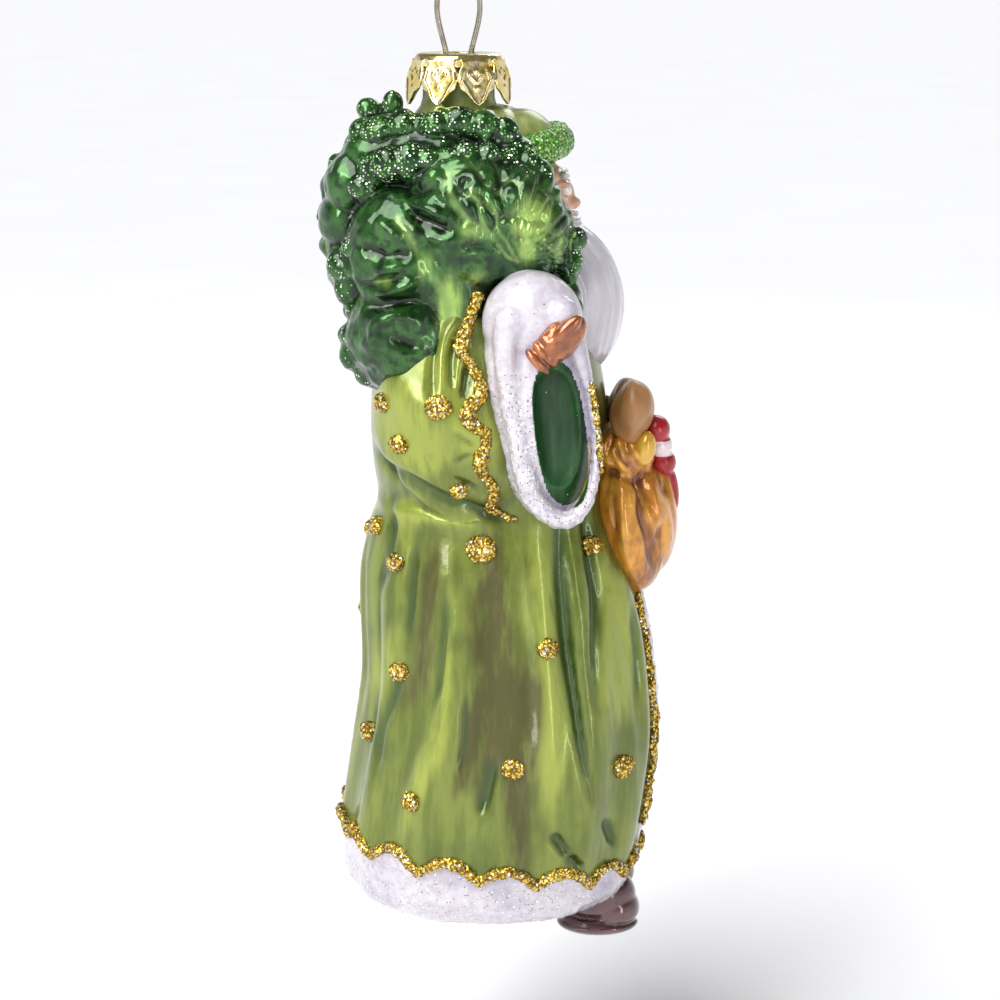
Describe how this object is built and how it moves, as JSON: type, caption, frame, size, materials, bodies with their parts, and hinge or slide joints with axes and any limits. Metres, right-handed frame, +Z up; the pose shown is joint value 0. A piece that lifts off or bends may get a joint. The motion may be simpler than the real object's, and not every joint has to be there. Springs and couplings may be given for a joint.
{
  "type": "hanging glass ornament",
  "caption": "Hollow mould-blown glass Christmas figure in a pleated coat, carrying kale and a vegetable sack, with a stamped cap and a spring-wire hanger that swivels.",
  "frame": {"origin": "where a tree hook bears, at the top of the inside of the hanger's wire loop", "axes": "+Z is up along the neck and the line the ornament hangs on; +X is the way the figure looks; +Y is the figure's left"},
  "size_m": [0.053, 0.051, 0.1434],
  "materials": {
    "lacquered_glass": "silvered inside, lacquered in green, white and red outside",
    "gold_plate": "stamped and polished",
    "steel_wire": "drawn spring wire",
    "gold_glitter": "glitter glue"
  },
  "bodies": {
    "hanger": {"hanger_wire": "steel_wire"},
    "cap": {"cap": "gold_plate"},
    "glass": {"back_glitter_dot_1": "gold_glitter", "back_glitter_dot_2": "gold_glitter", "back_glitter_dot_3": "gold_glitter", "back_glitter_dot_4": "gold_glitter", "back_glitter_dot_5": "gold_glitter", "glass_figure": "lacquered_glass", "hem_glitter_bead": "gold_glitter", "left_cuff_glitter_bead": "gold_glitter", "left_front_glitter_bead": "gold_glitter", "left_glitter_dot_1": "gold_glitter", "left_glitter_dot_10": "gold_glitter", "left_glitter_dot_2": "gold_glitter", "left_glitter_dot_3": "gold_glitter", "left_glitter_dot_4": "gold_glitter", "left_glitter_dot_5": "gold_glitter", "left_glitter_dot_6": "gold_glitter", "left_glitter_dot_7": "gold_glitter", "left_glitter_dot_8": "gold_glitter", "left_glitter_dot_9": "gold_glitter", "right_cuff_glitter_bead": "gold_glitter", "right_front_glitter_bead": "gold_glitter", "right_glitter_dot_1": "gold_glitter", "right_glitter_dot_10": "gold_glitter", "right_glitter_dot_11": "gold_glitter", "right_glitter_dot_12": "gold_glitter", "right_glitter_dot_2": "gold_glitter", "right_glitter_dot_3": "gold_glitter", "right_glitter_dot_4": "gold_glitter", "right_glitter_dot_5": "gold_glitter", "right_glitter_dot_6": "gold_glitter", "right_glitter_dot_7": "gold_glitter", "right_glitter_dot_8": "gold_glitter", "right_glitter_dot_9": "gold_glitter"}
  },
  "joints": [
    {"name": "hanger_swivel", "type": "hinge", "parent": "hanger", "child": "cap", "pos_m": [0, 0, -0.011], "axis": [0, 0, 1], "continuous": true},
    {"name": "cap_pull_off", "type": "slide", "parent": "cap", "child": "glass", "axis": [0, 0, -1], "range_m": [0, 0.018]}
  ]
}
